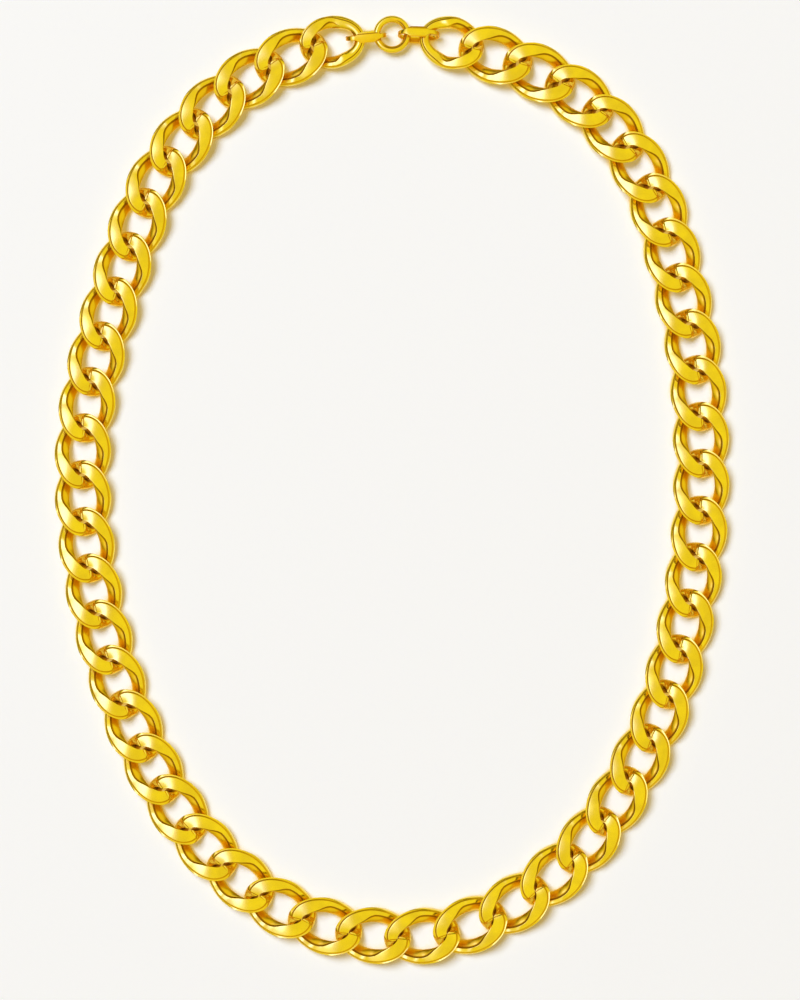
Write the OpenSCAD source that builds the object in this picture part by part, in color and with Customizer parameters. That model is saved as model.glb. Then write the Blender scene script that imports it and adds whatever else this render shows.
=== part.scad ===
// Curb chain necklace, lying closed on a flat surface. All sizes are in millimetres.
// X runs across the loop, Y runs towards the clasp ring and Z is up from the surface.
// The origin is under the middle of the whole necklace, on the surface.

/* [Chain] */
// Number of links round the whole necklace
link_count = 50; // [40:2:60]
// Outer length of one link
link_l = 14.3; // [14:0.1:16]
// Outer width of one link
link_w = 10.4; // [9:0.1:12]
// Outer length of the two end links, which are a little smaller
end_link_l = 12.4; // [12:0.1:14]
// Outer width of the two end links
end_link_w = 9.7; // [9:0.1:12]
// Width of the wire at the two ends of a link, seen from above
wire_w = 2.4; // [2:0.1:2.5]
// Width of the wire at the two ends of an end link, seen from above
end_wire_w = 2; // [1.8:0.1:2.2]
// Width of the wire along the two sides of a link, seen from above
side_w = 3; // [2.4:0.1:3.2]
// Height of the wire before the chain is ground flat
wire_h = 2; // [1.6:0.1:2.4]
// Thickness of the chain between its two ground faces
chain_h = 3.4; // [3:0.1:4]
// Share of the wire's width that is flat
flat_share = 0.72; // [0.5:0.02:0.9]
// Height between two limbs where one link crosses the next
crossing_gap = 0.55; // [0.45:0.05:0.7]
// Play between one link and the next, along the chain
link_play = 0.75; // [0.4:0.05:0.9]
// Play that is left at the foot of the loop, where the links are drawn apart
foot_play = 0.3; // [0.2:0.05:0.4]
// Play between the last two links on the right, which are drawn apart too
right_end_play = 0.4; // [0.3:0.05:0.7]
// Turn of the left end link from the route of the chain
left_end_turn = -5; // [-5:1:3]
// Turn of the right end link from the route of the chain
right_end_turn = -3; // [-3:1:3]

/* [Clasp] */
// Outer diameter of the clasp ring
ring_d = 7; // [6:0.1:9]
// Diameter of the clasp ring's wire
ring_wire_d = 1.3; // [1:0.1:1.6]
// Width of a connector's strip at its broadest
strip_w = 2; // [1.6:0.1:2.4]
// Width of a connector's strip round its two ends
strip_end_w = 0.8; // [0.6:0.05:1]
// Thickness of a connector's strip
strip_t = 0.4; // [0.3:0.05:0.5]
// Distance inside a connector from the end link's wire to the ring's wire, middle to middle
connector_reach = 3.2; // [3:0.1:5]
// Distance from the end link's wire to the middle of the connector's bend round it
connector_seat = 0.9; // [0.7:0.05:1.1]
// Clearance between a connector and the wires that it holds
connector_gap = 0.2; // [0.15:0.05:0.3]
// Lean of the left connector, whose top leans towards the foot of the loop
left_lean = 10; // [0:1:16]
// Lean of the right connector, whose top leans away from the foot of the loop
right_lean = 14; // [0:1:16]

/* [Hidden] */
gold = [0.93, 0.72, 0.13];
pale_gold = [0.96, 0.78, 0.24];

// Route of the middle of the chain, as points chosen by hand: the clasp ring first, then every
// third link down the left side, along the foot and up the right side. The loop closes on the ring.
route = [
    [0, 0], [-25.5, -7.5], [-42, -24], [-51.5, -47.5], [-57.5, -74], [-56, -102.5],
    [-47.5, -131], [-33.5, -153], [-14, -166], [11, -167.5], [33.5, -154], [49, -129.5],
    [56.5, -100], [57.5, -71.5], [54, -48], [46, -24.5], [30, -8.5]
];
steps_per_span = 12;

// Sections along one link's wire, how quickly its limbs rise from its ends, how soon its sides
// broaden, and how the lift of an end link grows towards its free end
link_sections = 16;
rise_bias = 1.5;
rise_softness = 0.5;
side_swell = 4;
lift_ease = 2;

// Corners of the wire's section: side, and height as a share of half the wire's height
wire_corners = [[1, 0], [1, 1], [-1, 1], [-1, 0], [-1, -1], [1, -1]];

// Half lengths of the wire's centre line in a plain link and in an end link
link_a = (link_l - wire_w) / 2;
link_b = (link_w - side_w) / 2;
end_a = (end_link_l - end_wire_w) / 2;
end_b = (end_link_w - side_w) / 2;

// Height that a limb rises or dips, and the middle height of the chain
limb_rise = (wire_h + crossing_gap) / 2;
ground_h = min(chain_h, wire_h + 2 * limb_rise);
mid_z = ground_h / 2;

// Spacing of the links: pulled taut, it would be the inner length of one link
taut_pitch = link_l - 2 * wire_w;
end_loss = taut_pitch / 2 - (end_link_l / 2 - end_wire_w);
foot_links = 9;
function foot_share(i) =
    let (off = abs(i - link_count / 2) / foot_links) off < 1 ? (1 + cos(180 * off)) / 2 : 0;
function pitch(i) =
    i == 0 ? taut_pitch - link_play - end_loss :
    i == link_count - 2 ? taut_pitch - right_end_play - end_loss :
    taut_pitch - link_play + (link_play - foot_play) * foot_share(i);
function total(v, i = 0) = i < len(v) ? v[i] + total(v, i + 1) : 0;
function running(v) = [for (i = 0, s = 0; i <= len(v); s = i < len(v) ? s + v[i] : s, i = i + 1) s];

// Distances along the loop from the clasp ring's middle to the middle of each link
ring_r = (ring_d - ring_wire_d) / 2;
clasp_reach = ring_r + connector_reach + end_a;
link_s = [for (s = running([for (i = [0 : link_count - 2]) pitch(i)])) clasp_reach + s];
loop_l = link_s[link_count - 1] + clasp_reach;

// The route as a smooth closed curve through its points, scaled to the length of the chain
function wrapped(i) = route[(i + len(route)) % len(route)];
function curve_at(i, f) =
    let (a = wrapped(i - 1), b = wrapped(i), c = wrapped(i + 1), d = wrapped(i + 2))
    b + f / 2 * (c - a + f * (2 * a - 5 * b + 4 * c - d + f * (3 * b - a - 3 * c + d)));
raw_curve = [
    for (i = [0 : len(route) - 1]) for (k = [0 : steps_per_span - 1]) curve_at(i, k / steps_per_span)
];
raw_count = len(raw_curve);
raw_steps = [for (i = [0 : raw_count - 1]) norm(raw_curve[(i + 1) % raw_count] - raw_curve[i])];
route_fit = loop_l / total(raw_steps);
curve_s = running(raw_steps) * route_fit;
function curve_index(s, low, high) =
    high - low <= 1 ? low :
    let (mid = floor((low + high) / 2))
    s < curve_s[mid] ? curve_index(s, low, mid) : curve_index(s, mid, high);
function on_loop(s) =
    let (i = curve_index(s, 0, raw_count), f = (s - curve_s[i]) / (curve_s[i + 1] - curve_s[i]))
    route_fit * (raw_curve[i] * (1 - f) + raw_curve[(i + 1) % raw_count] * f);

// Middle of a link and the way it points, along the chain
link_mid = [for (s = link_s) on_loop(s)];
function end_turn(i) = i == 0 ? left_end_turn : i == link_count - 1 ? right_end_turn : 0;
function heading(i) =
    let (d = on_loop(link_s[i] + taut_pitch / 2) - on_loop(link_s[i] - taut_pitch / 2))
    atan2(d[1], d[0]) + end_turn(i);
link_dir = [for (i = [0 : link_count - 1]) [cos(heading(i)), sin(heading(i))]];

// A connector stands on the surface, so its lower limb lifts the free end of the end link
function lean_rise(w, lean) = strip_t / cos(lean) + w * tan(lean);
bend_reach = connector_reach + connector_seat;
function end_lift(lean) = max(0, lean_rise(strip_w, lean) + connector_gap + wire_h / 2 - mid_z);
function connector_inner_h(lean) = mid_z + end_lift(lean) + wire_h / 2 + connector_gap - strip_t;
ring_z = lean_rise(strip_w, max(left_lean, right_lean)) + connector_gap + ring_wire_d / 2;

// Rise and dip of the wire at the angle t round a link, from -1 to 1
rise_peak = atan(sqrt(1 / rise_bias));
function raw_rise(t) = sin(t) * sign(cos(t)) * pow(abs(cos(t)), rise_bias);
function limb_share(t) =
    let (s = raw_rise(t) / raw_rise(rise_peak))
    s * sqrt((1 + pow(rise_softness, 2)) / (s * s + pow(rise_softness, 2)));

// Corners of one section of the wire. The grinding holds every corner between the two faces.
// free is -1 or 1 for an end link, whose free half is untwisted and lifted, and 0 for the others.
function section(t, free, lift) =
    let (
        a = free == 0 ? link_a : end_a,
        b = free == 0 ? link_b : end_b,
        mid = [a * cos(t), b * sin(t)],
        out = [b * cos(t), a * sin(t)] / norm([b * cos(t), a * sin(t)]),
        tip_w = free == 0 ? wire_w : end_wire_w,
        w = tip_w + (side_w - tip_w) * pow(sin(t), side_swell),
        freedom = (1 + free * cos(t)) / 2,
        twist = freedom > 0.51 ? 0 : 1,
        z = -limb_rise * twist * limb_share(t),
        raised = free == 0 ? 0 : lift * pow(freedom, lift_ease)
    )
    [
        for (c = wire_corners)
            let (
                h = max(-mid_z, min(mid_z, z + c[1] * wire_h / 2)),
                narrowing = c[1] == 0 ? 0 : (1 - flat_share) * abs(h - z) / (wire_h / 2),
                p = mid + out * c[0] * w / 2 * (1 - narrowing)
            )
            [p[0], p[1], h + mid_z + raised]
    ];
function link_points(free, lift) =
    [for (k = [0 : link_sections - 1]) each section(360 * k / link_sections, free, lift)];
corner_count = len(wire_corners);
link_faces = [
    for (k = [0 : link_sections - 1])
        for (j = [0 : corner_count - 1])
            let (
                a = k * corner_count,
                b = (k + 1) % link_sections * corner_count,
                n = (j + 1) % corner_count
            )
            each [[a + j, a + n, b + n], [a + j, b + n, b + j]]
];

// Each link's own points, set in place on the loop
function placed(points, mid, dir) =
    [for (p = points) [mid[0] + p[0] * dir[0] - p[1] * dir[1], mid[1] + p[0] * dir[1] + p[1] * dir[0], p[2]]];
plain_link = link_points(0, 0);
function points_of(i) =
    i == 0 ? link_points(-1, end_lift(left_lean)) :
    i == link_count - 1 ? link_points(1, end_lift(right_lean)) : plain_link;
link_in_place = [for (i = [0 : link_count - 1]) placed(points_of(i), link_mid[i], link_dir[i])];

// Middle of the whole necklace, which becomes the origin
all_x = [for (l = link_in_place) for (p = l) p[0]];
all_y = [for (l = link_in_place) for (p = l) p[1]];
middle = [
    (min(all_x) + max(all_x)) / 2,
    (min(all_y) + max(concat(all_y, [ring_d / 2]))) / 2
];

// One link as a closed solid
module link(i) {
    polyhedron(points = link_in_place[i], faces = link_faces, convexity = 4);
}

// Half of the chain, as links that pass through each other without touching
module chain(first, last) {
    color(gold)
        translate([-middle[0], -middle[1], 0])
            for (i = [first : last]) link(i);
}

module left_chain() {
    chain(0, link_count / 2 - 1);
}

module right_chain() {
    chain(link_count / 2, link_count - 1);
}

// Round ring of round wire, lying flat between the two connectors
module clasp_ring() {
    color(pale_gold)
        translate([-middle[0], -middle[1], ring_z])
            rotate_extrude($fn = 96)
                translate([ring_r, 0])
                    circle(d = ring_wire_d, $fn = 32);
}

// Outline of a loop with round ends, seen from its side
module loop_outline(h, reach) {
    for (x = [-reach / 2, reach / 2])
        translate([x, 0])
            circle(d = h, $fn = 64);
    square([reach, h], center = true);
}

// Plan of a strip from its half widths along one side, mirrored on the other
module strip_plan(side) {
    polygon(concat(side, [for (i = [len(side) - 1 : -1 : 0]) [side[i][0], -side[i][1]]]));
}

// Flat strip bent into a standing loop. It is broad between its ends and narrow round them.
// Local X runs from the end link to the ring.
module connector(inner_h) {
    outer_h = inner_h + 2 * strip_t;
    half_l = (bend_reach + outer_h) / 2;
    link_bend = -bend_reach / 2;
    ring_bend = bend_reach / 2;
    intersection() {
        rotate([90, 0, 0])
            linear_extrude(height = strip_w, center = true)
                difference() {
                    loop_outline(outer_h, bend_reach);
                    loop_outline(inner_h, bend_reach);
                }
        translate([0, 0, -outer_h])
            linear_extrude(height = 2 * outer_h)
                strip_plan([
                    [-half_l - strip_t, strip_end_w / 2],
                    [link_bend, strip_end_w / 2],
                    [link_bend + connector_seat, strip_w / 2],
                    [ring_bend - ring_wire_d / 2, strip_w / 2],
                    [ring_bend + ring_wire_d / 2, strip_end_w / 2],
                    [half_l + strip_t, strip_end_w / 2]
                ]);
    }
}

// Sets a connector in the free end of an end link, pointing at the middle of the ring
module seated_connector(i, side, lean) {
    free_end = link_mid[i] + side * end_a * link_dir[i];
    yaw = atan2(-free_end[1], -free_end[0]);
    inner_h = connector_inner_h(lean);
    mid_height = (inner_h / 2 + strip_t) * cos(lean) + strip_w / 2 * sin(lean);
    color(pale_gold)
        translate([free_end[0] - middle[0], free_end[1] - middle[1], mid_height])
            rotate([0, 0, yaw])
                rotate([lean, 0, 0])
                    translate([bend_reach / 2 - connector_seat, 0, 0])
                        connector(inner_h);
}

module left_connector() {
    seated_connector(0, -1, left_lean);
}

module right_connector() {
    seated_connector(link_count - 1, 1, right_lean);
}

left_chain();
right_chain();
clasp_ring();
left_connector();
right_connector();
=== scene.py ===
import math

import bmesh
import bpy
import numpy as np
from bpy.props import FloatProperty, FloatVectorProperty, IntProperty, PointerProperty
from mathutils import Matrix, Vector


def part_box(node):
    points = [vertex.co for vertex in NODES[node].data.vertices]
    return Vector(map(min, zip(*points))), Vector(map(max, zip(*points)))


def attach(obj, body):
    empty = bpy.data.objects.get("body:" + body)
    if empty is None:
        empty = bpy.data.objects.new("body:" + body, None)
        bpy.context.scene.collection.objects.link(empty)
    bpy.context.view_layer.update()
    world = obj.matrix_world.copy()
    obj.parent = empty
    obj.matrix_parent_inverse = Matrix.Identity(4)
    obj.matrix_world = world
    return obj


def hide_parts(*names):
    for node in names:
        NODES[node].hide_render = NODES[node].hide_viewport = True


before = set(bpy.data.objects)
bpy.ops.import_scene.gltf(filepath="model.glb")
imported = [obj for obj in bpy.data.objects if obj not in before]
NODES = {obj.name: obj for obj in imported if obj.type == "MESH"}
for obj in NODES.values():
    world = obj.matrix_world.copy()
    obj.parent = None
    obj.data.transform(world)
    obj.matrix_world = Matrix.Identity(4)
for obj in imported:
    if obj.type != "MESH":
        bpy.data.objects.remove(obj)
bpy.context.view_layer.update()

bl_info = {
    "name": "Curb chain necklace",
    "version": (1, 0, 0),
    "blender": (4, 5, 0),
    "location": "View3D > Sidebar > Necklace",
    "description": "Makes a gold curb chain necklace round its solid model, with a pale table and soft light",
    "category": "Object",
}

MM = 0.001


# Node trees

class Socket:
    """A node's output, on which Python's operators add Math nodes."""

    def __init__(self, tree, link):
        self.tree = tree
        self.link = link

    def beside(self, name):
        """Another output of the same node."""
        return Socket(self.tree, self.link.node.outputs[name])

    def __add__(self, other):
        return self.tree.math("ADD", self, other)

    def __radd__(self, other):
        return self.tree.math("ADD", other, self)

    def __sub__(self, other):
        return self.tree.math("SUBTRACT", self, other)

    def __rsub__(self, other):
        return self.tree.math("SUBTRACT", other, self)

    def __mul__(self, other):
        return self.tree.math("MULTIPLY", self, other)

    def __rmul__(self, other):
        return self.tree.math("MULTIPLY", other, self)

    def __truediv__(self, other):
        return self.tree.math("DIVIDE", self, other)

    def __rtruediv__(self, other):
        return self.tree.math("DIVIDE", other, self)

    def __pow__(self, other):
        return self.tree.math("POWER", self, other)

    def __rpow__(self, other):
        return self.tree.math("POWER", other, self)

    def clamped(self):
        """The same value, held between 0 and 1."""
        return self.tree.math("MAXIMUM", self.tree.math("MINIMUM", self, 1.0), 0.0)


class Tree:
    """Builds nodes in one node tree."""

    def __init__(self, node_tree):
        self.nodes = node_tree.nodes
        self.links = node_tree.links
        self.nodes.clear()

    def add(self, kind, settings=None, inputs=None, output=0):
        """A new node's output. An input is a value, a socket or a list of sockets."""
        node = self.nodes.new(kind)
        for name, value in (settings or {}).items():
            setattr(node, name, value)
        for name, value in (inputs or {}).items():
            for item in value if isinstance(value, list) else [value]:
                if isinstance(item, Socket):
                    self.links.new(item.link, node.inputs[name])
                else:
                    node.inputs[name].default_value = item
        return Socket(self, node.outputs[output]) if node.outputs else node

    def math(self, operation, *values):
        return self.add("ShaderNodeMath", {"operation": operation}, dict(enumerate(values)))

    def mix(self, factor, first, second):
        """A colour between two, each a socket or three numbers."""
        ends = [end if isinstance(end, Socket) else (*end, 1.0) for end in (first, second)]
        inputs = {"Factor": factor, 6: ends[0], 7: ends[1]}
        return self.add("ShaderNodeMix", {"data_type": "RGBA"}, inputs, 2)

    def noise(self, place, scale, detail):
        inputs = {"Vector": place, "Scale": scale, "Detail": detail}
        return self.add("ShaderNodeTexNoise", {}, inputs, "Fac")

    def ramp(self, value, from_range, to_range):
        """A smooth step of the value from one range to another, held at both ends."""
        return self.add("ShaderNodeMapRange", {"interpolation_type": "SMOOTHSTEP"}, {
            "Value": value,
            "From Min": from_range[0],
            "From Max": from_range[1],
            "To Min": to_range[0],
            "To Max": to_range[1],
        })


# Materials
# Noise scales are in cycles for each metre.

PATCH_SCALE = 330.0
PATCH_START = 0.36
PATCH_GAIN = 3.5
PATCH_ROUGHNESS = 0.06
GRAIN_SCALE = 2600.0
GRAIN_HEIGHT = 0.02 * MM
# Painted shade and painted reflections: orange where walls mirror other gold or get less light, brown in the
# darkest pits, and the roughness that the painted shade adds
PAINTED_SHADE_ORANGE = (0.88, 0.49, 0.006)
PAINTED_SHADE_BROWN = (0.17, 0.05, 0.001)
PAINTED_SHADE_ROUGHNESS = 0.45
COAT = 0.55
COAT_ROUGHNESS = 0.2
# Roughness and strength of the grain
CHAIN_FINISH = (0.16, 0.25)
CLASP_FINISH = (0.14, 0.15)

FIBRE_SCALE = 900.0
FIBRE_HEIGHT = 0.05 * MM
FIBRE_STRENGTH = 0.05
PAPER_ROUGHNESS = 0.9
PAPER_SPECULAR = 0.2
# Warm light that the paper gives off by itself, painted light that lifts its shadows and makes them golden
PAPER_GLOW = (0.40, 0.285, 0.09)
# Golden light that polished walls throw on the paper between them: how far walls count, the shares
# of open sky between which it grows, and the paper's glow and colour in it
SHEEN_REACH = 2.6 * MM
SHEEN_SAMPLES = 8
SHEEN_RANGE = (0.62, 0.40)
SHEEN_GLOW = (0.58, 0.36, 0.04)
SHEEN_PAPER = (0.40, 0.34, 0.12)


def gold_material(name, finish, roughness, grain):
    """Polished gold plate: slightly uneven colour, a fine grain and a thin clear coat.
    Painted shade and painted reflections, held in a mesh attribute, turn it orange, then brown, where little
    light comes in."""
    material = bpy.data.materials.new(name)
    material.use_nodes = True
    tree = Tree(material.node_tree)
    place = tree.add("ShaderNodeTexCoord", output="Object")
    cloud = tree.noise(place, PATCH_SCALE, 4.0)
    speck = tree.noise(place, GRAIN_SCALE, 2.0)
    # Painted shade: orange up to half, then brown
    recess = tree.add("ShaderNodeAttribute", {"attribute_name": "recess"}, {}, "Fac")
    orange_shade = (recess * 2).clamped()
    brown_shade = (recess * 2 - 1).clamped()
    patch = ((cloud - PATCH_START) * PATCH_GAIN).clamped()
    tone = tree.mix(patch, finish.deep_gold, finish.gold)
    tone = tree.mix(orange_shade, tone, PAINTED_SHADE_ORANGE)
    tone = tree.mix(brown_shade, tone, PAINTED_SHADE_BROWN)
    shader = tree.add("ShaderNodeBsdfPrincipled", {}, {
        "Base Color": tone,
        "Metallic": 1.0,
        "Roughness": cloud * PATCH_ROUGHNESS + (roughness - PATCH_ROUGHNESS / 2) + recess * PAINTED_SHADE_ROUGHNESS,
        "Coat Weight": (1 - orange_shade) * COAT,
        "Coat Roughness": COAT_ROUGHNESS,
        "Normal": bump_of(tree, speck, grain, GRAIN_HEIGHT),
    })
    tree.add("ShaderNodeOutputMaterial", {}, {"Surface": shader})
    return material


def paper_material(colour):
    """Pale matt paper, very slightly uneven, with a golden sheen where links stand round it.
    Both the sheen and the paper's own warm glow are painted light.
    """
    material = bpy.data.materials.new("pale_paper")
    material.use_nodes = True
    tree = Tree(material.node_tree)
    place = tree.add("ShaderNodeTexCoord", output="Object")
    fibre = tree.noise(place, FIBRE_SCALE, 4.0)
    open_sky = tree.add("ShaderNodeAmbientOcclusion", {"samples": SHEEN_SAMPLES},
                        {"Distance": SHEEN_REACH}, "AO")
    sheen = tree.ramp(open_sky, SHEEN_RANGE, (0.0, 1.0))
    shader = tree.add("ShaderNodeBsdfPrincipled", {}, {
        "Base Color": tree.mix(sheen, colour, SHEEN_PAPER),
        "Roughness": PAPER_ROUGHNESS,
        "Specular IOR Level": PAPER_SPECULAR,
        "Emission Color": tree.mix(sheen, PAPER_GLOW, SHEEN_GLOW),
        "Emission Strength": 1.0,
        "Normal": bump_of(tree, fibre, FIBRE_STRENGTH, FIBRE_HEIGHT),
    })
    tree.add("ShaderNodeOutputMaterial", {}, {"Surface": shader})
    return material


def bump_of(tree, height, strength, distance):
    inputs = {"Height": height, "Strength": strength, "Distance": distance}
    return tree.add("ShaderNodeBump", {}, inputs, "Normal")


# Link shape
# Angles run from a link's tip on the high side, in degrees: 0 is the tip, 90 the middle of a side
# and 180 the other tip. Edges and sides are in shares of half the wire's width, positive outwards.

FACE_OUTER_EDGE = [
    (0, -0.80), (1.5, -0.48), (3.5, -0.20), (7, 0.06), (13, 0.30), (24, 0.48), (36, 0.58),
    (50, 0.62), (90, 0.62), (110, 0.60), (135, 0.55), (152, 0.38), (166, 0.0), (180, -0.80),
]
FACE_INNER_EDGE = [
    (0, -0.83), (5, -0.96), (10, -1.04), (22, -1.11), (40, -1.07), (57, -0.80), (70, -0.50),
    (83, -0.02), (93, 0.17), (105, 0.20), (130, 0.13), (152, -0.05), (166, -0.45), (180, -0.82),
]
# Angle from a tip over which the early start of a ground face fades out
FACE_SHIFT_SPAN = 50
# Places of the corners across a ground face and across a bevel
FLAT_PLACES = np.array([0.0, 0.06, 0.35, 0.65, 0.94, 1.0])
BEVEL_PLACES = np.array([0.12, 0.88])
# Most that a bevel takes of the room between a face and the outer or inner side
BEVEL_ROOM = (0.5, 0.4)

# How much higher the wire is near a tip, in shares of the rise to the tip height
TIP_SWELL = [(0, 1.3), (9, 0.9), (26, 0), (163, 0), (168, 0.7), (172, 1.4), (176, 1.5), (180, 1.3)]
# The same from either tip, so these angles end in the middle of a side
INNER_SIDE = [(0, -1.0), (8, -1.02), (22, -1.07), (40, -1.04), (62, -0.90), (90, -0.80)]
OUTER_ROUNDNESS = [(0, 1.5), (25, 1.6), (50, 1.7), (90, 1.7)]
# Angle from a tip over which the tip's reach inwards fades out
TIP_SPAN = 14
# Sine of the turn round a link from which the wire thickens towards its middle height
SIDE_SINE = 0.8
# A larger bias moves a limb's highest place towards its tip. A larger softness lets the limb leave
# the middle height more slowly.
RISE_BIAS = 1.5
RISE_SOFTNESS = 0.5

# The free half of an end link: the cosine from which it is wholly plain, the edges of its top, how
# far the top falls at its middle and further at its edge, its roundness and how much bevel it lacks
FREE_COSINE = 0.45
FREE_EDGES = (0.30, -0.60)
FREE_FALL = (0.06, 0.6)
FREE_ROUNDNESS = 1.9
FREE_BEVEL = 0.5

# How dark a section is where two links cross and little light comes in: outer side, top, inner side
OUTER_SHADE = [
    (0, 0.18), (12, 0.14), (28, 0.0), (120, 0.0), (150, 0.08), (166, 0.2), (174, 0.24), (180, 0.18),
]
TOP_SHADE = [
    (0, 0.25), (3, 0.0), (118, 0.0), (140, 0.25), (156, 0.7), (168, 0.95), (176, 0.95), (180, 0.25),
]
INNER_SHADE = [
    (0, 0.9), (20, 0.7), (36, 0.42), (60, 0.3), (110, 0.28), (135, 0.3), (150, 0.42), (165, 0.75), (180, 0.9),
]
# Corners over which a side's shade fades into the top's
SHADE_FADE = 1.5
# Darkness of the fine painted lines along a ground face's outer and inner edges, which stand for the dark
# reflections and shade in its bevels
LINE_SHADES = (0.55, 0.82)
# On the free half of an end link, how much darker the painted outer line is and how much lighter the rest of
# the painted shade
FREE_LINE_GAIN = 0.6
FREE_SHADE_LOSS = 0.8


def curve_value(stops, places):
    """Smooth curve through stops, with slopes that never overshoot them."""
    x, y = np.array(stops, float).T
    step = np.diff(x)
    slope = np.diff(y) / step
    tangent = np.empty_like(y)
    product = slope[:-1] * slope[1:]
    tiny = 1e-12
    tangent[1:-1] = np.where(product > 0, 2 * product / (slope[:-1] + slope[1:] + tiny), 0)
    tangent[0], tangent[-1] = slope[0], slope[-1]
    i = np.clip(np.searchsorted(x, places, side="right") - 1, 0, len(step) - 1)
    f = (places - x[i]) / step[i]
    return (
        y[i] * (1 + 2 * f) * (1 - f) ** 2 + tangent[i] * step[i] * f * (1 - f) ** 2
        + y[i + 1] * f * f * (3 - 2 * f) + tangent[i + 1] * step[i] * f * f * (f - 1)
    )


def smooth_step(x):
    x = np.clip(x, 0, 1)
    return x * x * (3 - 2 * x)


def blended(value, free_value, plain):
    """From a twisted link's value to that of a free plain half."""
    return value * (1 - plain) + free_value * plain


def rise_share(angle):
    """How far a limb is above the middle, from -1 to 1, at an angle from its high tip."""
    def raw(turn):
        return np.sin(turn) * np.sign(np.cos(turn)) * np.abs(np.cos(turn)) ** RISE_BIAS
    peak = math.atan(math.sqrt(1 / RISE_BIAS))
    share = raw(np.radians(angle)) / raw(peak)
    return share * np.sqrt((1 + RISE_SOFTNESS ** 2) / (share ** 2 + RISE_SOFTNESS ** 2))


def face_angle(angle, start):
    """Angle along a ground face, which begins up to start degrees before the link's tip."""
    past_tip = np.where(angle > 90, angle - 180, angle)
    return (angle + start * np.clip(1 - np.abs(past_tip) / FACE_SHIFT_SPAN, 0, 1) ** 2) % 180


def arc_points(count, power):
    """Points of quarter superellipses from the side (1, 0) to the top (0, 1), both ends included."""
    turn = np.linspace(0, math.pi / 2, count)[None, :]
    return np.cos(turn).clip(0) ** (2 / power), np.sin(turn).clip(0) ** (2 / power)


class LinkSections:
    """Sections round one link. Each value is a column with a row for each section."""

    def __init__(self, size, length, width, wire_width, side_width, free_lift):
        even = np.arange(size.sections)[:, None] * 2 * math.pi / size.sections
        turn = even - size.tip_density / 2 * np.sin(2 * even)
        self.cos, self.sin = np.cos(turn), np.sin(turn)
        self.high = (-np.degrees(turn)) % 180
        self.low = 180 - self.high
        from_tip = np.minimum(self.high, self.low)
        self.half_length = (length - wire_width) / 2
        self.half_width = (width + size.side_growth - side_width) / 2
        self.half_wire = (wire_width + (side_width - wire_width) * self.sin ** 4) / 2
        swell = smooth_step((np.abs(self.sin) - SIDE_SINE) / (1 - SIDE_SINE))
        self.thick = (size.wire_height + (size.middle_height - size.wire_height) * swell) / 2
        self.centre = (size.wire_height + size.crossing_gap) / 2 * rise_share(self.high)
        self.lift = np.zeros_like(turn)
        self.plain = np.zeros_like(turn)
        if free_lift is not None:
            self.plain = smooth_step(self.cos / FREE_COSINE)
            self.centre = np.where(self.cos > 0, 0, self.centre)
            self.lift = free_lift * ((1 + self.cos) / 2) ** 2
        reach_in = size.tip_reach * (1 - np.clip(from_tip / TIP_SPAN, 0, 1) ** 2)
        self.side = blended(curve_value(INNER_SIDE, from_tip) - reach_in, -1, self.plain)
        self.roundness = blended(curve_value(OUTER_ROUNDNESS, from_tip), FREE_ROUNDNESS, self.plain)
        self.bevel = size.bevel * (1 - FREE_BEVEL * self.plain)


def along_limb(size, link, angle):
    """Distance along a limb from the middle of its ground face, for the crown of the face."""
    degrees = np.arange(181)
    turn = np.radians(degrees)
    speed = np.hypot(link.half_length * np.sin(turn), link.half_width * np.cos(turn))
    run = np.concatenate([[0], np.cumsum((speed[1:] + speed[:-1]) / 2 * math.pi / 180)])
    return np.interp(angle, degrees, run) - np.interp(math.degrees(size.face_middle), degrees, run)


def face_height(size, link, x, top, along):
    """Height of the top at shares x across the wire: the crowned ground face, or the round wire's
    own top where that is lower."""
    from_axis = np.abs(link.half_width * link.sin) + x * link.half_wire * np.abs(link.sin)
    ground = size.chain_height / 2 - np.minimum(along, size.crown_reach) ** 2 / (2 * size.crown_along)
    ground = ground - (x * link.half_wire) ** 2 / (2 * size.crown_across)
    ground = ground - from_axis ** 2 / (2 * size.dome)
    ground = ground - (link.half_length * link.cos ** 2) ** 2 / (2 * size.length_dome)
    crest = top - link.plain * link.half_wire * (FREE_FALL[0] + FREE_FALL[1] * x ** 2)
    return (crest + ground - np.hypot(crest - ground, size.blend)) / 2


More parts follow.
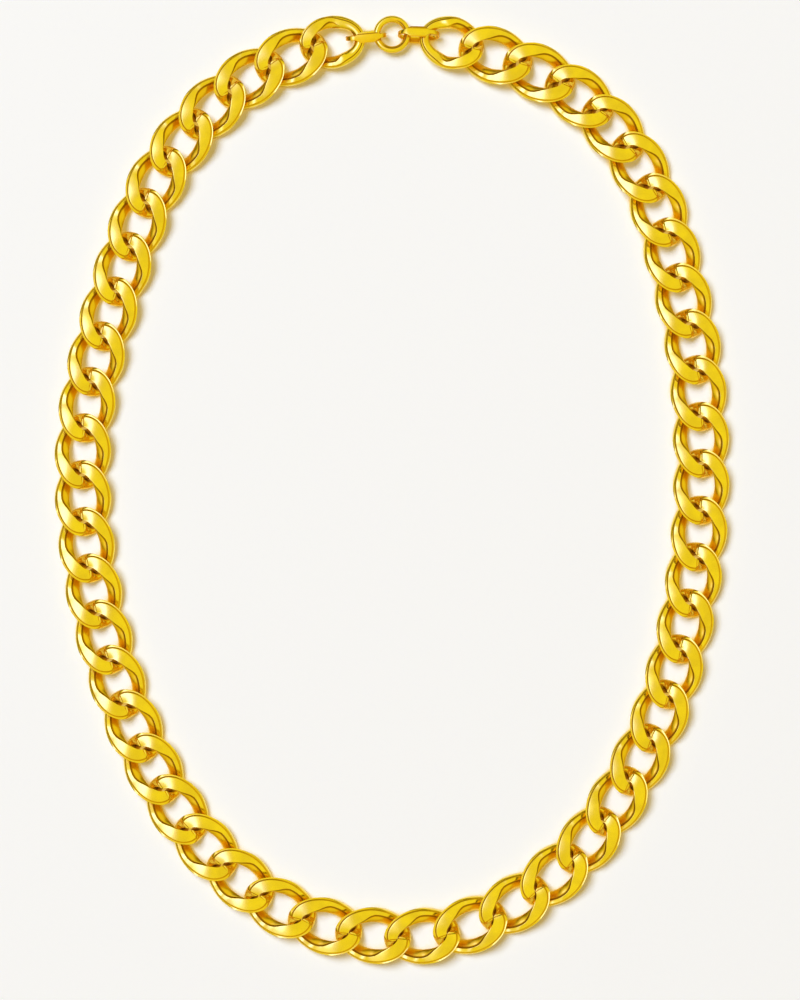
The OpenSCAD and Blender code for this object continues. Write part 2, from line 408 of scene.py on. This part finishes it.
def half_sections(size, link, angle, base):
    """Shares across and heights of the upper half of each section, from the outer side over the
    ground face to the inner side. The lower half is made the same way, and turned over."""
    on_face = face_angle(angle, math.degrees(size.face_start))
    out_edge = blended(curve_value(FACE_OUTER_EDGE, on_face), FREE_EDGES[0], link.plain)
    in_edge = blended(curve_value(FACE_INNER_EDGE, on_face), FREE_EDGES[1], link.plain)
    tip_rise = (size.tip_height - size.wire_height) / 2 * curve_value(TIP_SWELL, angle) * (1 - link.plain)
    flat_x = out_edge + (in_edge - out_edge) * FLAT_PLACES
    flat_z = face_height(size, link, flat_x, base + link.thick + tip_rise, along_limb(size, link, angle))
    out_z, in_z = flat_z[:, :1], flat_z[:, -1:]

    bevel = link.bevel / link.half_wire
    out_foot = out_edge + np.minimum(bevel, BEVEL_ROOM[0] * (1 - out_edge))
    in_foot = in_edge - np.minimum(bevel, BEVEL_ROOM[1] * np.maximum(in_edge - link.side, 0))
    out_foot_z = out_z - (out_foot - out_edge) * link.half_wire * size.bevel_slope
    in_foot_z = in_z - (in_edge - in_foot) * link.half_wire * size.bevel_slope

    side_x, side_z = arc_points(size.arc_steps + 1, link.roundness)
    wall_x, wall_z = (arc[:, ::-1] for arc in arc_points(size.arc_steps + 1, size.inner_roundness))
    towards, away = BEVEL_PLACES[::-1], BEVEL_PLACES
    across = np.hstack([
        out_foot + (1 - out_foot) * side_x,
        out_edge + (out_foot - out_edge) * towards,
        flat_x,
        in_edge + (in_foot - in_edge) * away,
        in_foot + (link.side - in_foot) * wall_x,
    ])
    height = np.hstack([
        base + (out_foot_z - base) * side_z,
        out_z + (out_foot_z - out_z) * towards,
        flat_z,
        in_z + (in_foot_z - in_z) * away,
        base + (in_foot_z - base) * wall_z,
    ])
    return across, height


def half_shades(size, link, angle, corners):
    """Painted shade of the corners that half_sections makes, from 0 to 1."""
    wall = size.arc_steps + 1 + len(BEVEL_PLACES)
    outward, inward, outer_line, inner_line = np.zeros((4, corners))
    outward[:wall] = np.clip((wall - np.arange(wall)) / SHADE_FADE, 0, 1)
    inward[-wall:] = np.clip((np.arange(wall) + 1) / SHADE_FADE, 0, 1)
    outer_line[size.arc_steps:wall] = LINE_SHADES[0]
    inner_line[-wall:-size.arc_steps] = LINE_SHADES[1]
    on_face = face_angle(angle, math.degrees(size.face_start))
    outer, top, inner = (curve_value(stops, on_face) for stops in (OUTER_SHADE, TOP_SHADE, INNER_SHADE))
    shade = outer * outward + inner * inward + top * (1 - outward - inward)
    line = outer_line * (1 + FREE_LINE_GAIN * link.plain) + inner_line * (1 - link.plain)
    return np.maximum(shade * (1 - FREE_SHADE_LOSS * link.plain), line).clip(0, 1)


def link_mesh(name, size, length, width, wire_width, side_width, free_lift=None):
    """One link round its own middle, travelling along X and lying on Z = 0.
    free_lift makes an end link, whose half towards +X is untwisted and rises by that much."""
    link = LinkSections(size, length, width, wire_width, side_width, free_lift)
    up_x, up_z = half_sections(size, link, link.high, link.centre)
    down_x, down_z = half_sections(size, link, link.low, -link.centre)
    up_shade = half_shades(size, link, link.high, up_x.shape[1])
    down_shade = half_shades(size, link, link.low, up_x.shape[1])
    # The halves share their first and last corners
    back = slice(-2, 0, -1)
    across = np.hstack([up_x, down_x[:, back]]) * link.half_wire
    height = np.hstack([up_z, -down_z[:, back]]) + size.chain_height / 2 + link.lift
    normal = np.hstack([link.half_width * link.cos, link.half_length * link.sin])
    normal = normal / np.linalg.norm(normal, axis=1)[:, None]
    points = np.dstack([
        link.half_length * link.cos + normal[:, :1] * across,
        link.half_width * link.sin + normal[:, 1:] * across,
        height,
    ])
    return tube_mesh(name, points, np.hstack([up_shade, down_shade[:, back]]))


# Clasp shape

# Cosines round the ring's wire between which painted shade darkens its two sides
RING_SIDE_COSINES = (0.84, 0.94)
RING_SIDE_SHADE = 0.6
# A painted dark reflection line along the top of the ring, by the cosine round its wire, that is bare in
# one direction
RING_LINE_COSINE = -0.28
RING_LINE_WIDTH = 0.27
RING_LINE_REACH = 0.9
RING_BARE_DEGREES = 150

# Connectors: corners this near are joined, faces this near to flat are one, edges above these
# angles are rounded and shaded as creases
WELD = 1e-6
FLAT_DEGREES = 1.5
EDGE_DEGREES = 40
CREASE_DEGREES = 35
EDGE_SEGMENTS = 3
# Painted shade and painted reflection lines across each connector, by distance in mm from its middle towards
# the north
CONNECTOR_SHADES = {
    "left_connector": [
        (-1.1, 0.35), (-0.5, 0.2), (0.16, 0.15), (0.24, 0.8), (0.4, 0.8), (0.48, 0.0), (1.1, 0.0),
    ],
    "right_connector": [
        (-1.1, 0.5), (-0.4, 0.45), (-0.3, 0.0), (0.92, 0.0), (1.0, 0.7), (1.4, 0.7),
    ],
}
# Painted shade towards a connector's two ends, by distance in mm along it from its middle
CONNECTOR_END_SHADE = [(2.7, 0.0), (3.5, 0.45)]


def tube_mesh(name, points, shade):
    """Smooth tube through closed sections, the last joined to the first, with faces outwards.
    A mesh attribute holds the painted shade of each corner."""
    sections, corners = shade.shape
    k, j = np.mgrid[:sections, :corners]
    m, n = (k + 1) % sections, (j + 1) % corners
    faces = np.stack([k * corners + j, m * corners + j, m * corners + n, k * corners + n], -1)
    mesh = bpy.data.meshes.new(name)
    mesh.from_pydata(points.reshape(-1, 3).tolist(), [], faces.reshape(-1, 4).tolist())
    mesh.update()
    set_painted_shade(mesh, shade)
    work = bmesh.new()
    work.from_mesh(mesh)
    bmesh.ops.recalc_face_normals(work, faces=work.faces)
    work.to_mesh(mesh)
    work.free()
    mesh.shade_smooth()
    return mesh


# Stores each corner's painted shade in the mesh attribute that the gold material reads
def set_painted_shade(mesh, shade):
    mesh.attributes.new("recess", "FLOAT", "POINT").data.foreach_set("value", np.ravel(shade))


def ring_mesh(name, middle, ring_radius, wire_radius, sections, corners):
    """Closed round ring of round wire, lying flat, with painted shade on its sides and a painted reflection
    line along its top.
    """
    turn = np.arange(sections)[:, None] * 2 * math.pi / sections
    round_wire = np.arange(corners)[None, :] * 2 * math.pi / corners
    reach = ring_radius + wire_radius * np.cos(round_wire)
    points = np.dstack([
        middle[0] + reach * np.cos(turn),
        middle[1] + reach * np.sin(turn),
        middle[2] + wire_radius * np.sin(round_wire) + 0 * turn,
    ])
    sides = np.interp(np.abs(np.cos(round_wire)), RING_SIDE_COSINES, (0, RING_SIDE_SHADE))
    line = np.exp(-((np.cos(round_wire) - RING_LINE_COSINE) / RING_LINE_WIDTH) ** 2)
    line = line * (np.sin(round_wire) > 0)
    fade = np.clip(RING_LINE_REACH - np.cos(turn - math.radians(RING_BARE_DEGREES)), 0, 1)
    return tube_mesh(name, points, np.maximum(sides, line * fade))


def softened_mesh(name, node, edge_radius, stops):
    """The CAD node's own shape with its sharp edges rounded, and painted with shade by stops across its
    length.
    """
    work = welded(node)
    bmesh.ops.dissolve_limit(work, angle_limit=math.radians(FLAT_DEGREES), verts=work.verts, edges=work.edges)
    least = math.radians(EDGE_DEGREES)
    sharp = [e for e in work.edges if len(e.link_faces) == 2 and e.calc_face_angle() > least]
    bmesh.ops.bevel(work, geom=sharp, offset=edge_radius, segments=EDGE_SEGMENTS, profile=0.5,
                    affect="EDGES", clamp_overlap=True)
    place = solid_places(node)[0]
    along = Vector((*place["heading"], 0)) * np.sign(place["heading"][0])
    across = Vector((-along.y, along.x, 0))
    middle = Vector((*place["middle"], 0))
    # Cuts at the stops give the painted shade corners to change at
    for offset, _ in stops:
        bmesh.ops.bisect_plane(work, geom=[*work.verts, *work.edges, *work.faces],
                               plane_co=middle + across * offset * MM, plane_no=across)
    bmesh.ops.triangulate(work, faces=[f for f in work.faces if len(f.verts) > 4])
    bmesh.ops.recalc_face_normals(work, faces=work.faces)
    mesh = bpy.data.meshes.new(name)
    work.to_mesh(mesh)
    work.free()
    corners = (np.array([v.co[:] for v in mesh.vertices]) - np.array(middle)) / MM
    shade = np.interp(corners @ np.array(across), *zip(*stops))
    end = np.interp(np.abs(corners @ np.array(along)), *zip(*CONNECTOR_END_SHADE))
    set_painted_shade(mesh, np.maximum(shade, end))
    mesh.shade_smooth()
    mesh.set_sharp_from_angle(angle=math.radians(CREASE_DEGREES))
    return mesh


# Places, read from the CAD nodes

def welded(node):
    """A CAD node's mesh with its loose triangles joined, to be freed after use."""
    work = bmesh.new()
    work.from_mesh(NODES[node].data)
    bmesh.ops.remove_doubles(work, verts=work.verts, dist=WELD)
    return work


def loose_solids(node):
    """The corners of each loose solid of a CAD node."""
    work = welded(node)
    left = dict.fromkeys(work.verts)
    solids = []
    while left:
        found = [left.popitem()[0]]
        for vert in found:
            for other in [edge.other_vert(vert) for edge in vert.link_edges]:
                if other in left:
                    del left[other]
                    found.append(other)
        solids.append(np.array([vert.co[:] for vert in found]))
    work.free()
    return solids


def solid_places(node):
    """Middle, heading, length, width and top of each loose solid of a CAD node."""
    places = []
    for corners in loose_solids(node):
        plan = corners[:, :2]
        middle = plan.mean(0)
        heading = np.linalg.eigh(np.cov((plan - middle).T))[1][:, -1]
        places.append({
            "middle": middle,
            "heading": heading,
            "length": np.ptp((plan - middle) @ heading),
            "width": np.ptp((plan - middle) @ np.array([-heading[1], heading[0]])),
            "top": corners[:, 2].max(),
        })
    return places


def ring_middle():
    """Middle of the clasp ring in plan."""
    low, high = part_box("clasp_ring")
    return np.array([(low[0] + high[0]) / 2, (low[1] + high[1]) / 2])


# Chain

def chain_tree():
    """Sets a link on every point of a chain, turned by the point's own heading."""
    group = bpy.data.node_groups.new("links on their places", "GeometryNodeTree")
    for name, kind in (("Places", "Geometry"), ("Link", "Object"), ("End Link", "Object"),
                       ("Finish", "Material")):
        group.interface.new_socket(name, in_out="INPUT", socket_type="NodeSocket" + kind)
    group.interface.new_socket("Chain", in_out="OUTPUT", socket_type="NodeSocketGeometry")
    tree = Tree(group)
    given = tree.add("NodeGroupInput")
    attribute = "GeometryNodeInputNamedAttribute"
    heading = tree.add(attribute, {"data_type": "FLOAT"}, {"Name": "heading"}, "Attribute")
    at_end = tree.add(attribute, {"data_type": "BOOLEAN"}, {"Name": "at_end"}, "Attribute")
    not_end = tree.add("FunctionNodeBooleanMath", {"operation": "NOT"}, {0: at_end})
    turn = tree.add("ShaderNodeCombineXYZ", {}, {"Z": heading})
    points = tree.add("GeometryNodeMeshToPoints", {}, {"Mesh": given.beside("Places")})

    def placed(name, wanted):
        shape = tree.add("GeometryNodeObjectInfo", {}, {"Object": given.beside(name)}, "Geometry")
        inputs = {"Points": points, "Selection": wanted, "Instance": shape, "Rotation": turn}
        return tree.add("GeometryNodeInstanceOnPoints", {}, inputs)

    links = [placed("Link", not_end), placed("End Link", at_end)]
    joined = tree.add("GeometryNodeJoinGeometry", {}, {"Geometry": links})
    whole = tree.add("GeometryNodeRealizeInstances", {}, {"Geometry": joined})
    gilt = tree.add("GeometryNodeSetMaterial", {}, {"Geometry": whole, "Material": given.beside("Finish")})
    tree.add("NodeGroupOutput", {}, {"Chain": gilt})
    return group


def points_mesh(places, end):
    """A point for each link, which holds its heading and whether it is the end link."""
    mesh = bpy.data.meshes.new("places")
    mesh.from_pydata([(*place["middle"], 0) for place in places], [], [])
    headings = [math.atan2(place["heading"][1], place["heading"][0]) for place in places]
    mesh.attributes.new("heading", "FLOAT", "POINT").data.foreach_set("value", headings)
    at_end = [place is end for place in places]
    mesh.attributes.new("at_end", "BOOLEAN", "POINT").data.foreach_set("value", at_end)
    return mesh


def set_input(modifier, name, value):
    sockets = modifier.node_group.interface.items_tree
    modifier[next(s.identifier for s in sockets if s.name == name and s.in_out == "INPUT")] = value


def new_object(name, data):
    piece = bpy.data.objects.new(name, data)
    bpy.context.scene.collection.objects.link(piece)
    return piece


def remove_object(piece):
    mesh = piece.data
    bpy.data.objects.remove(piece)
    bpy.data.meshes.remove(mesh)


def baked(piece, name):
    """A plain mesh object made from the evaluated piece."""
    graph = bpy.context.evaluated_depsgraph_get()
    mesh = bpy.data.meshes.new_from_object(piece.evaluated_get(graph))
    mesh.name = name
    return new_object(name, mesh)


def finish_piece(piece, node):
    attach(piece, "root")
    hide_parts(node)


def clasp_gold(context):
    """The clasp's gold, made once."""
    name = "clasp plate"
    return bpy.data.materials.get(name) or gold_material(name, context.scene.necklace_finish, *CLASP_FINISH)


# Stage
# Directions are the parts of a unit vector: east, north and up.

TABLE_SIZE = 3.0
LAMP_FROM = (-0.37, 0.34, 0.865)
LAMP_DISTANCE = 6.0
LAMP_SIZE = 3.0
LAMP_POWER = 395.0

# What the gold sees: a warm ceiling, a horizon that is darker on the lamp's side, and a small hot
# panel in a wider glow, which are bluish so that yellow metal gives them back as cream
SKY_TINT = (1.0, 0.97, 0.40)
CEILING = 0.93
PALE_HORIZON = 0.55
DARK_HORIZON = 0.09
DARK_TURN = (-0.3, 0.5)
# Heights where the horizon ends and the ceiling is full, and how much higher both are on the
# dark side
HORIZON_TOP = 0.14
CEILING_FOOT = 0.44
DARK_RISE = 0.2
DARK_RISE_TURN = (0.0, 0.6)
# The panel's middle and reach to the east and north. Its glow and its hot middle each fade in
# between two squares of the distance from the middle, in reaches.
KEY_TINT = (0.042, 0.058, 1.0)
KEY_MIDDLE = (-0.40, 0.07)
KEY_REACH = (0.165, 0.38)
KEY_GLOW = 4.2
GLOW_EDGE = (4.5, 0.9)
KEY_HOT = 19.0
HOT_EDGE = (1.3, 0.4)

# The view's middle from the middle of the ring, its height on the table and the camera's height
VIEW_MIDDLE = (1.47 * MM, -86.93 * MM)
VIEW_HEIGHT = 0.1872
CAMERA_HEIGHT = 0.65
SENSOR_HEIGHT = 24.0


def make_table(paper):
    half = TABLE_SIZE / 2
    mesh = bpy.data.meshes.new("table")
    corners = [(-half, -half, 0), (half, -half, 0), (half, half, 0), (-half, half, 0)]
    mesh.from_pydata(corners, [], [(0, 1, 2, 3)])
    mesh.materials.append(paper_material(paper))
    new_object("table", mesh)


def make_lamp():
    """The soft lamp that lights the table. The gold doesn't mirror it."""
    light = bpy.data.lights.new("soft lamp", "AREA")
    light.shape = "RECTANGLE"
    light.size = LAMP_SIZE
    light.size_y = LAMP_SIZE
    light.energy = LAMP_POWER
    lamp = new_object("soft lamp", light)
    lamp.location = Vector(LAMP_FROM).normalized() * LAMP_DISTANCE
    lamp.rotation_euler = (-lamp.location).to_track_quat("-Z", "Y").to_euler()
    lamp.visible_glossy = False


def make_studio(scene):
    """The world, which lights only what mirrors it."""
    world = bpy.data.worlds.new("studio")
    scene.world = world
    world.use_nodes = True
    world.cycles_visibility.diffuse = False
    tree = Tree(world.node_tree)
    way = tree.add("ShaderNodeTexCoord", output="Generated")
    east = tree.add("ShaderNodeSeparateXYZ", {}, {"Vector": way}, "X")
    north, up = east.beside("Y"), east.beside("Z")
    lamp_side = Vector((*LAMP_FROM[:2], 0)).normalized()
    towards = tree.add("ShaderNodeVectorMath", {"operation": "DOT_PRODUCT"}, {0: way, 1: lamp_side}, "Value")
    horizon = tree.ramp(towards, DARK_TURN, (PALE_HORIZON, DARK_HORIZON))
    rise = tree.ramp(towards, DARK_RISE_TURN, (0.0, DARK_RISE))
    ceiling = tree.ramp(up - rise, (HORIZON_TOP, CEILING_FOOT), (0.0, 1.0))
    sky = horizon + (CEILING - horizon) * ceiling
    off_key = ((east - KEY_MIDDLE[0]) / KEY_REACH[0]) ** 2 + ((north - KEY_MIDDLE[1]) / KEY_REACH[1]) ** 2
    key = tree.ramp(off_key, GLOW_EDGE, (0.0, KEY_GLOW)) + tree.ramp(off_key, HOT_EDGE, (0.0, KEY_HOT))
    soft = tree.add("ShaderNodeBackground", {}, {"Color": (*SKY_TINT, 1.0), "Strength": sky})
    bright = tree.add("ShaderNodeBackground", {}, {"Color": (*KEY_TINT, 1.0), "Strength": key})
    both = tree.add("ShaderNodeAddShader", {}, {0: soft, 1: bright})
    tree.add("ShaderNodeOutputWorld", {}, {"Surface": both})


def make_camera(scene):
    """A camera that looks straight down."""
    lens = bpy.data.cameras.new("camera")
    lens.sensor_fit = "VERTICAL"
    lens.sensor_height = SENSOR_HEIGHT
    lens.lens = SENSOR_HEIGHT * CAMERA_HEIGHT / VIEW_HEIGHT
    lens.clip_start = 0.01
    camera = new_object("camera", lens)
    camera.location = (*(ring_middle() + VIEW_MIDDLE), CAMERA_HEIGHT)
    scene.camera = camera
    scene.view_settings.view_transform = "Standard"


# Settings

def length_setting(name, description, millimetres):
    return FloatProperty(name=name, description=description, default=millimetres * MM, min=0.0,
                         unit="LENGTH", precision=5)


def angle_setting(name, description, degrees):
    return FloatProperty(name=name, description=description, default=math.radians(degrees), subtype="ANGLE")


def share_setting(name, description, share):
    return FloatProperty(name=name, description=description, default=share, min=0.0, soft_max=1.0,
                         subtype="FACTOR")


def count_setting(name, description, count, least):
    return IntProperty(name=name, description=description, default=count, min=least)


def colour_setting(name, description, rgb):
    return FloatVectorProperty(name=name, description=description, default=rgb, size=3, min=0.0, max=1.0,
                               subtype="COLOR")


class LinkSettings(bpy.types.PropertyGroup):
    wire_width: length_setting("Wire width", "Width of the wire at a link's tips, from above", 2.4)
    side_width: length_setting("Side width", "Width of the wire along a link's sides, from above", 3.1)
    end_wire_width: length_setting("End wire width", "Width of the wire at an end link's tips", 2.0)
    end_side_width: length_setting("End side width", "Width of an end link's wire along its sides", 2.6)
    side_growth: length_setting("Side growth", "How much wider a rounded link is than its faceted solid", 0.2)
    free_drop: length_setting("Free drop", "How much lower an end link's free half is than its solid's", 0.3)
    wire_height: length_setting("Wire height", "Height of the wire where links cross", 2.0)
    middle_height: length_setting("Middle height", "Height of the wire in the middle of a side", 2.9)
    tip_height: length_setting("Tip height", "Height of the wire near a link's tips", 3.1)
    crossing_gap: length_setting("Crossing gap", "Height between two limbs that cross", 0.55)
    chain_height: length_setting("Chain height", "Thickness of the chain between its ground faces", 3.4)
    crown_along: length_setting("Crown along", "Radius of a ground face along its limb", 14.0)
    crown_across: length_setting("Crown across", "Radius of a ground face across its limb", 14.0)
    crown_reach: length_setting("Crown reach", "Distance along a limb where the crown ends", 4.3)
    dome: length_setting("Dome", "Radius of the ground faces across the whole chain", 30.0)
    length_dome: length_setting("Length dome", "Radius of the ground faces along each link", 70.0)
    blend: length_setting("Blend", "Rounding between a ground face and the wire", 0.12)
    bevel: length_setting("Bevel", "Width of the bevel round a ground face", 0.26)
    bevel_slope: share_setting("Bevel slope", "Fall of the bevel over its width", 0.85)
    face_middle: angle_setting("Face middle", "Middle of a ground face, from the tip", 46.0)
    face_start: angle_setting("Face start", "How far round a face is moved at the tip", 12.0)
    tip_reach: share_setting("Tip reach", "How far a tip reaches in, in shares of half its width", 0.03)
    tip_density: share_setting("Tip density", "How much closer the sections are near the tips", 0.6)
    inner_roundness: FloatProperty(name="Inner roundness", description="Power of the inner side's curve",
                                   default=1.4, min=0.5)
    sections: count_setting("Sections", "Sections round one link", 84, 16)
    arc_steps: count_setting("Arc steps", "Faces from a side to a bevel", 5, 2)


class ClaspSettings(bpy.types.PropertyGroup):
    ring_sections: count_setting("Ring sections", "Sections round the clasp ring", 128, 16)
    ring_corners: count_setting("Ring corners", "Corners round its wire", 32, 8)
    edge_radius: length_setting("Edge radius", "Rounding of the connectors' edges", 0.09)


class FinishSettings(bpy.types.PropertyGroup):
    gold: colour_setting("Gold", "Colour of the gold plate", (0.98, 0.71, 0.006))
    deep_gold: colour_setting("Deep gold", "Colour of its deeper patches", (0.86, 0.60, 0.008))


class StageSettings(bpy.types.PropertyGroup):
    # Bluish, so that with the paper's warm painted glow the lit table looks white and its shadows golden
    paper: colour_setting("Paper", "Colour of the table", (0.597, 0.714, 0.892))


class MakeStage(bpy.types.Operator):
    """Make the table, the light and the camera"""
    bl_idname = "necklace.make_stage"
    bl_label = "Table, light and camera"

    def execute(self, context):
        make_table(context.scene.necklace_stage.paper)
        make_lamp()
        make_studio(context.scene)
        make_camera(context.scene)
        return {"FINISHED"}


class MakeChain(bpy.types.Operator):
    """Make both halves of the chain from bevelled links"""
    bl_idname = "necklace.make_chain"
    bl_label = "Chain"

    def execute(self, context):
        size = context.scene.necklace_link
        gold = gold_material("chain plate", context.scene.necklace_finish, *CHAIN_FINISH)
        tree = chain_tree()
        ring = ring_middle()
        for node in ("left_chain", "right_chain"):
            places = sorted(solid_places(node), key=lambda place: np.linalg.norm(place["middle"] - ring))
            end, plain = places[0], places[-1]
            end["heading"] = end["heading"] * np.sign(end["heading"] @ (ring - end["middle"]))
            lift = end["top"] - size.chain_height / 2 - size.wire_height / 2 - size.free_drop
            link = new_object("link", link_mesh("link", size, plain["length"], plain["width"],
                                                size.wire_width, size.side_width))
            end_link = new_object("end_link", link_mesh("end_link", size, end["length"], end["width"],
                                                        size.end_wire_width, size.end_side_width, lift))
            carrier = new_object("places", points_mesh(places, end))
            modifier = carrier.modifiers.new("links", "NODES")
            modifier.node_group = tree
            set_input(modifier, "Link", link)
            set_input(modifier, "End Link", end_link)
            set_input(modifier, "Finish", gold)
            piece = baked(carrier, node + "_links")
            carrier.modifiers.remove(modifier)
            for helper in (carrier, link, end_link):
                remove_object(helper)
            finish_piece(piece, node)
        return {"FINISHED"}


class MakeRing(bpy.types.Operator):
    """Make the clasp ring from its box in the frame"""
    bl_idname = "necklace.make_ring"
    bl_label = "Clasp ring"

    def execute(self, context):
        size = context.scene.necklace_clasp
        low, high = (np.array(corner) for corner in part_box("clasp_ring"))
        wire_radius = (high[2] - low[2]) / 2
        ring_radius = (high[0] - low[0]) / 2 - wire_radius
        mesh = ring_mesh("clasp_ring_round", (low + high) / 2, ring_radius, wire_radius,
                         size.ring_sections, size.ring_corners)
        mesh.materials.append(clasp_gold(context))
        finish_piece(new_object("clasp_ring_round", mesh), "clasp_ring")
        return {"FINISHED"}


class MakeConnectors(bpy.types.Operator):
    """Make the two connectors between the ring and the ends of the chain"""
    bl_idname = "necklace.make_connectors"
    bl_label = "Connectors"

    def execute(self, context):
        for node, stops in CONNECTOR_SHADES.items():
            name = node + "_strip"
            mesh = softened_mesh(name, node, context.scene.necklace_clasp.edge_radius, stops)
            mesh.materials.clear()
            mesh.materials.append(clasp_gold(context))
            finish_piece(new_object(name, mesh), node)
        return {"FINISHED"}


class NecklacePanel(bpy.types.Panel):
    """Lists the pieces of the necklace and their settings"""
    bl_idname = "NECKLACE_PT_panel"
    bl_label = "Necklace"
    bl_space_type = "VIEW_3D"
    bl_region_type = "UI"
    bl_category = "Necklace"

    def draw(self, context):
        for operator in OPERATORS:
            self.layout.operator(operator.bl_idname)
        for name, group in SETTINGS.items():
            box = self.layout.box()
            settings = getattr(context.scene, name)
            for field in group.__annotations__:
                box.prop(settings, field)


OPERATORS = (MakeStage, MakeChain, MakeRing, MakeConnectors)
SETTINGS = {
    "necklace_link": LinkSettings,
    "necklace_clasp": ClaspSettings,
    "necklace_finish": FinishSettings,
    "necklace_stage": StageSettings,
}


def register():
    for item in (*SETTINGS.values(), *OPERATORS, NecklacePanel):
        bpy.utils.register_class(item)
    for name, group in SETTINGS.items():
        setattr(bpy.types.Scene, name, PointerProperty(type=group))


def unregister():
    for name in SETTINGS:
        delattr(bpy.types.Scene, name)
    for item in (NecklacePanel, *reversed(OPERATORS), *reversed(SETTINGS.values())):
        bpy.utils.unregister_class(item)


def main():
    register()
    bpy.ops.necklace.make_stage()
    bpy.ops.necklace.make_chain()
    bpy.ops.necklace.make_ring()
    bpy.ops.necklace.make_connectors()


if __name__ == "__main__":
    main()
